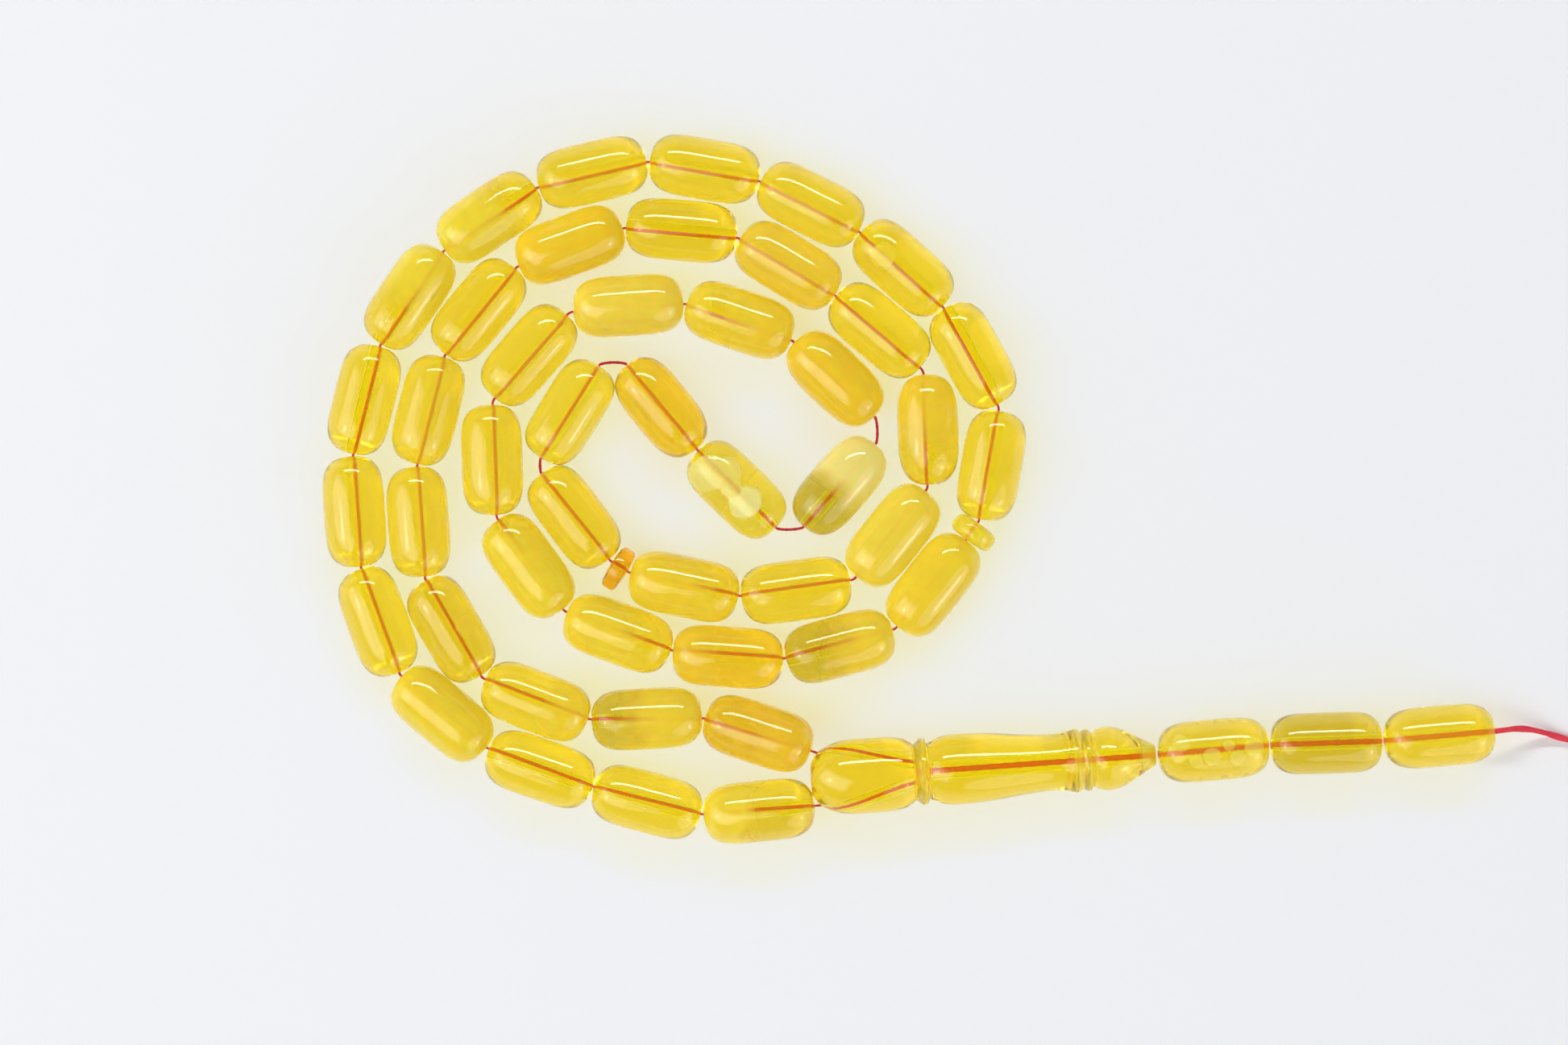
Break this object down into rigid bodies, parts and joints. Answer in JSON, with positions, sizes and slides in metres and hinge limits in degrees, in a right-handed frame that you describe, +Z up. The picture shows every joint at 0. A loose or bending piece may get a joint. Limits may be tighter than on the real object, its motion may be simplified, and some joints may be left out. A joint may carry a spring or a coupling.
{
  "type": "misbaha prayer beads",
  "caption": "String of amber barrel prayer beads in a flat double coil, with marker discs, a turned imame, tail beads and a knotted thread end.",
  "frame": {"origin": "on the table, under the middle of the beads, the imame and the tail beads together, without the free thread", "axes": "+X from the coil of beads towards the end of the tail, +Z straight up from the table, +Y to the side of the imame on which the coil lies"},
  "size_m": [0.1807, 0.092, 0.0097],
  "materials": {
    "clear_amber": "polished, see-through yellow amber",
    "milky_amber": "polished, cloudy yellow amber",
    "orange_amber": "polished, cloudy orange amber",
    "red_thread": "twisted crimson thread"
  },
  "bodies": {
    "imame": {"imame": "clear_amber", "loop_thread": "red_thread", "stem_thread": "red_thread"},
    "tail_link_1": {"tail_thread_1": "red_thread"},
    "tail_link_2": {"tail_thread_2": "red_thread"},
    "tail_link_3": {"tail_thread_3": "red_thread", "free_thread": "red_thread", "thread_coil": "red_thread", "end_knot": "red_thread"},
    "tail_bead_1": {"tail_bead_1": "milky_amber"},
    "tail_bead_2": {"tail_bead_2": "clear_amber"},
    "tail_bead_3": {"tail_bead_3": "clear_amber"},
    "bead_01": {"bead_01": "clear_amber"},
    "bead_02": {"bead_02": "clear_amber"},
    "bead_03": {"bead_03": "clear_amber"},
    "bead_04": {"bead_04": "milky_amber"},
    "bead_05": {"bead_05": "clear_amber"},
    "bead_06": {"bead_06": "clear_amber"},
    "bead_07": {"bead_07": "clear_amber"},
    "bead_08": {"bead_08": "milky_amber"},
    "bead_09": {"bead_09": "milky_amber"},
    "bead_10": {"bead_10": "clear_amber"},
    "bead_11": {"bead_11": "clear_amber"},
    "bead_12": {"bead_12": "clear_amber"},
    "bead_13": {"bead_13": "clear_amber"},
    "bead_14": {"bead_14": "clear_amber"},
    "bead_15": {"bead_15": "clear_amber"},
    "round_marker": {"round_marker": "clear_amber"},
    "bead_16": {"bead_16": "milky_amber"},
    "bead_17": {"bead_17": "clear_amber"},
    "bead_18": {"bead_18": "orange_amber"},
    "bead_19": {"bead_19": "milky_amber"},
    "bead_20": {"bead_20": "milky_amber"},
    "bead_21": {"bead_21": "clear_amber"},
    "bead_22": {"bead_22": "clear_amber"},
    "bead_23": {"bead_23": "milky_amber"},
    "bead_24": {"bead_24": "milky_amber"},
    "bead_25": {"bead_25": "orange_amber"},
    "bead_26": {"bead_26": "clear_amber"},
    "bead_27": {"bead_27": "milky_amber"},
    "bead_28": {"bead_28": "orange_amber"},
    "bead_29": {"bead_29": "clear_amber"},
    "bead_30": {"bead_30": "clear_amber"},
    "cut_marker": {"cut_marker": "orange_amber"},
    "bead_31": {"bead_31": "milky_amber"},
    "bead_32": {"bead_32": "clear_amber"},
    "bead_33": {"bead_33": "milky_amber"},
    "bead_34": {"bead_34": "clear_amber"},
    "bead_35": {"bead_35": "clear_amber"},
    "bead_36": {"bead_36": "orange_amber"},
    "bead_37": {"bead_37": "clear_amber"},
    "bead_38": {"bead_38": "orange_amber"},
    "bead_39": {"bead_39": "clear_amber"},
    "bead_40": {"bead_40": "milky_amber"},
    "bead_41": {"bead_41": "clear_amber"},
    "bead_42": {"bead_42": "clear_amber"},
    "bead_43": {"bead_43": "clear_amber"},
    "bead_44": {"bead_44": "milky_amber"},
    "bead_45": {"bead_45": "orange_amber"}
  },
  "joints": [
    {"name": "tail_swing_1", "type": "hinge", "parent": "imame", "child": "tail_link_1", "pos_m": [0.03228, -0.03458, 0.00406], "axis": [0, 0, 1], "range_deg": [-12, 12]},
    {"name": "tail_swing_2", "type": "hinge", "parent": "tail_link_1", "child": "tail_link_2", "pos_m": [0.04697, -0.0333, 0.00386], "axis": [0, 0, 1], "range_deg": [-12, 12]},
    {"name": "tail_swing_3", "type": "hinge", "parent": "tail_link_2", "child": "tail_link_3", "pos_m": [0.06171, -0.03277, 0.00386], "axis": [0, 0, 1], "range_deg": [-12, 12]},
    {"name": "tail_spin_1", "type": "hinge", "parent": "tail_link_1", "child": "tail_bead_1", "pos_m": [0.03962, -0.03393, 0.00396], "axis": [0.9961, 0.0871, -0.0135], "continuous": true},
    {"name": "tail_spin_2", "type": "hinge", "parent": "tail_link_2", "child": "tail_bead_2", "pos_m": [0.05434, -0.03303, 0.00386], "axis": [0.9994, 0.0349, 0], "continuous": true},
    {"name": "tail_spin_3", "type": "hinge", "parent": "tail_link_3", "child": "tail_bead_3", "pos_m": [0.06906, -0.03213, 0.00386], "axis": [0.9962, 0.0872, 0], "continuous": true},
    {"name": "spin_01", "type": "hinge", "parent": "imame", "child": "bead_01", "pos_m": [-0.01955, -0.04188, 0.0044], "axis": [-0.9921, -0.1028, -0.0721], "continuous": true},
    {"name": "spin_02", "type": "hinge", "parent": "imame", "child": "bead_02", "pos_m": [-0.03416, -0.04071, 0.00386], "axis": [-0.9656, 0.26, 0], "continuous": true},
    {"name": "spin_03", "type": "hinge", "parent": "imame", "child": "bead_03", "pos_m": [-0.04805, -0.03644, 0.00386], "axis": [-0.9451, 0.3267, 0], "continuous": true},
    {"name": "spin_04", "type": "hinge", "parent": "imame", "child": "bead_04", "pos_m": [-0.06081, -0.02921, 0.00386], "axis": [-0.7657, 0.6432, 0], "continuous": true},
    {"name": "spin_05", "type": "hinge", "parent": "imame", "child": "bead_05", "pos_m": [-0.0692, -0.01722, 0.00386], "axis": [-0.3423, 0.9396, 0], "continuous": true},
    {"name": "spin_06", "type": "hinge", "parent": "imame", "child": "bead_06", "pos_m": [-0.07225, -0.0029, 0.00386], "axis": [-0.0705, 0.9975, 0], "continuous": true},
    {"name": "spin_07", "type": "hinge", "parent": "imame", "child": "bead_07", "pos_m": [-0.07099, 0.0117, 0.00386], "axis": [0.2408, 0.9706, 0], "continuous": true},
    {"name": "spin_08", "type": "hinge", "parent": "imame", "child": "bead_08", "pos_m": [-0.06505, 0.0251, 0.00386], "axis": [0.5579, 0.8299, 0], "continuous": true},
    {"name": "spin_09", "type": "hinge", "parent": "imame", "child": "bead_09", "pos_m": [-0.05471, 0.03547, 0.00386], "axis": [0.8281, 0.5606, 0], "continuous": true},
    {"name": "spin_10", "type": "hinge", "parent": "imame", "child": "bead_10", "pos_m": [-0.04129, 0.04134, 0.00386], "axis": [0.974, 0.2266, 0], "continuous": true},
    {"name": "spin_11", "type": "hinge", "parent": "imame", "child": "bead_11", "pos_m": [-0.02667, 0.04174, 0.00386], "axis": [0.985, -0.1723, 0], "continuous": true},
    {"name": "spin_12", "type": "hinge", "parent": "imame", "child": "bead_12", "pos_m": [-0.01281, 0.03712, 0.00386], "axis": [0.8914, -0.4531, 0], "continuous": true},
    {"name": "spin_13", "type": "hinge", "parent": "imame", "child": "bead_13", "pos_m": [-0.00077, 0.02887, 0.00386], "axis": [0.7435, -0.6687, 0], "continuous": true},
    {"name": "spin_14", "type": "hinge", "parent": "imame", "child": "bead_14", "pos_m": [0.00832, 0.01743, 0.00386], "axis": [0.4848, -0.8746, 0], "continuous": true},
    {"name": "spin_15", "type": "hinge", "parent": "imame", "child": "bead_15", "pos_m": [0.01071, 0.00313, 0.00386], "axis": [-0.1747, -0.9846, 0], "continuous": true},
    {"name": "round_marker_spin", "type": "hinge", "parent": "imame", "child": "round_marker", "pos_m": [0.00841, -0.0056, 0.00386], "axis": [-0.5939, -0.8045, 0], "continuous": true},
    {"name": "spin_16", "type": "hinge", "parent": "imame", "child": "bead_16", "pos_m": [0.00311, -0.01242, 0.00386], "axis": [-0.6169, -0.787, 0], "continuous": true},
    {"name": "spin_17", "type": "hinge", "parent": "imame", "child": "bead_17", "pos_m": [-0.00903, -0.02042, 0.00386], "axis": [-0.9664, -0.2572, 0], "continuous": true},
    {"name": "spin_18", "type": "hinge", "parent": "imame", "child": "bead_18", "pos_m": [-0.02361, -0.0218, 0.00386], "axis": [-0.9975, 0.0712, 0], "continuous": true},
    {"name": "spin_19", "type": "hinge", "parent": "imame", "child": "bead_19", "pos_m": [-0.03793, -0.01874, 0.00386], "axis": [-0.9393, 0.3431, 0], "continuous": true},
    {"name": "spin_20", "type": "hinge", "parent": "imame", "child": "bead_20", "pos_m": [-0.04958, -0.00995, 0.00386], "axis": [-0.5876, 0.8091, 0], "continuous": true},
    {"name": "spin_21", "type": "hinge", "parent": "imame", "child": "bead_21", "pos_m": [-0.05433, 0.00385, 0.00386], "axis": [-0.0357, 0.9994, 0], "continuous": true},
    {"name": "spin_22", "type": "hinge", "parent": "imame", "child": "bead_22", "pos_m": [-0.04951, 0.01751, 0.00386], "axis": [0.6549, 0.7557, 0], "continuous": true},
    {"name": "spin_23", "type": "hinge", "parent": "imame", "child": "bead_23", "pos_m": [-0.03661, 0.02398, 0.00386], "axis": [0.9975, 0.0713, 0], "continuous": true},
    {"name": "spin_24", "type": "hinge", "parent": "imame", "child": "bead_24", "pos_m": [-0.0221, 0.02209, 0.00386], "axis": [0.9459, -0.3245, 0], "continuous": true},
    {"name": "spin_25", "type": "hinge", "parent": "imame", "child": "bead_25", "pos_m": [-0.00963, 0.01446, 0.00386], "axis": [0.7197, -0.6943, 0], "continuous": true},
    {"name": "spin_26", "type": "hinge", "parent": "imame", "child": "bead_26", "pos_m": [-0.00906, 0.00052, 0.00386], "axis": [-0.6572, -0.7537, 0], "continuous": true},
    {"name": "spin_27", "type": "hinge", "parent": "imame", "child": "bead_27", "pos_m": [-0.02247, -0.00003, 0.00386], "axis": [-0.719, 0.695, 0], "continuous": true},
    {"name": "spin_28", "type": "hinge", "parent": "imame", "child": "bead_28", "pos_m": [-0.03231, 0.01072, 0.00386], "axis": [-0.6291, 0.7773, 0], "continuous": true},
    {"name": "spin_29", "type": "hinge", "parent": "imame", "child": "bead_29", "pos_m": [-0.0442, 0.01011, 0.00386], "axis": [-0.5311, -0.8473, 0], "continuous": true},
    {"name": "spin_30", "type": "hinge", "parent": "imame", "child": "bead_30", "pos_m": [-0.04362, -0.00361, 0.00386], "axis": [0.602, -0.7985, 0], "continuous": true},
    {"name": "cut_marker_spin", "type": "hinge", "parent": "imame", "child": "cut_marker", "pos_m": [-0.03787, -0.01033, 0.00386], "axis": [0.8502, -0.5264, 0], "continuous": true},
    {"name": "spin_31", "type": "hinge", "parent": "imame", "child": "bead_31", "pos_m": [-0.02933, -0.01266, 0.00386], "axis": [0.9784, -0.2066, 0], "continuous": true},
    {"name": "spin_32", "type": "hinge", "parent": "imame", "child": "bead_32", "pos_m": [-0.01472, -0.01314, 0.00386], "axis": [0.99, 0.1407, 0], "continuous": true},
    {"name": "spin_33", "type": "hinge", "parent": "imame", "child": "bead_33", "pos_m": [-0.00213, -0.006, 0.00386], "axis": [0.6281, 0.7781, 0], "continuous": true},
    {"name": "spin_34", "type": "hinge", "parent": "imame", "child": "bead_34", "pos_m": [0.00246, 0.00778, 0.00386], "axis": [-0.0357, 0.9994, 0], "continuous": true},
    {"name": "spin_35", "type": "hinge", "parent": "imame", "child": "bead_35", "pos_m": [-0.00386, 0.02072, 0.00386], "axis": [-0.7657, 0.6432, 0], "continuous": true},
    {"name": "spin_36", "type": "hinge", "parent": "imame", "child": "bead_36", "pos_m": [-0.01573, 0.0292, 0.00386], "axis": [-0.8567, 0.5158, 0], "continuous": true},
    {"name": "spin_37", "type": "hinge", "parent": "imame", "child": "bead_37", "pos_m": [-0.02966, 0.03375, 0.00386], "axis": [-0.9961, 0.0886, 0], "continuous": true},
    {"name": "spin_38", "type": "hinge", "parent": "imame", "child": "bead_38", "pos_m": [-0.04418, 0.03186, 0.00386], "axis": [-0.9403, -0.3404, 0], "continuous": true},
    {"name": "spin_39", "type": "hinge", "parent": "imame", "child": "bead_39", "pos_m": [-0.05608, 0.0234, 0.00386], "axis": [-0.6305, -0.7761, 0], "continuous": true},
    {"name": "spin_40", "type": "hinge", "parent": "imame", "child": "bead_40", "pos_m": [-0.06263, 0.01033, 0.00386], "axis": [-0.2431, -0.97, 0], "continuous": true},
    {"name": "spin_41", "type": "hinge", "parent": "imame", "child": "bead_41", "pos_m": [-0.06391, -0.00423, 0.00386], "axis": [0.069, -0.9976, 0], "continuous": true},
    {"name": "spin_42", "type": "hinge", "parent": "imame", "child": "bead_42", "pos_m": [-0.05965, -0.0182, 0.00386], "axis": [0.5, -0.866, 0], "continuous": true},
    {"name": "spin_43", "type": "hinge", "parent": "imame", "child": "bead_43", "pos_m": [-0.04861, -0.02761, 0.00386], "axis": [0.934, -0.3574, 0], "continuous": true},
    {"name": "spin_44", "type": "hinge", "parent": "imame", "child": "bead_44", "pos_m": [-0.03417, -0.02988, 0.00386], "axis": [0.9985, 0.0539, 0], "continuous": true},
    {"name": "spin_45", "type": "hinge", "parent": "imame", "child": "bead_45", "pos_m": [-0.01966, -0.03177, 0.0044], "axis": [0.9489, -0.3071, 0.0723], "continuous": true}
  ]
}
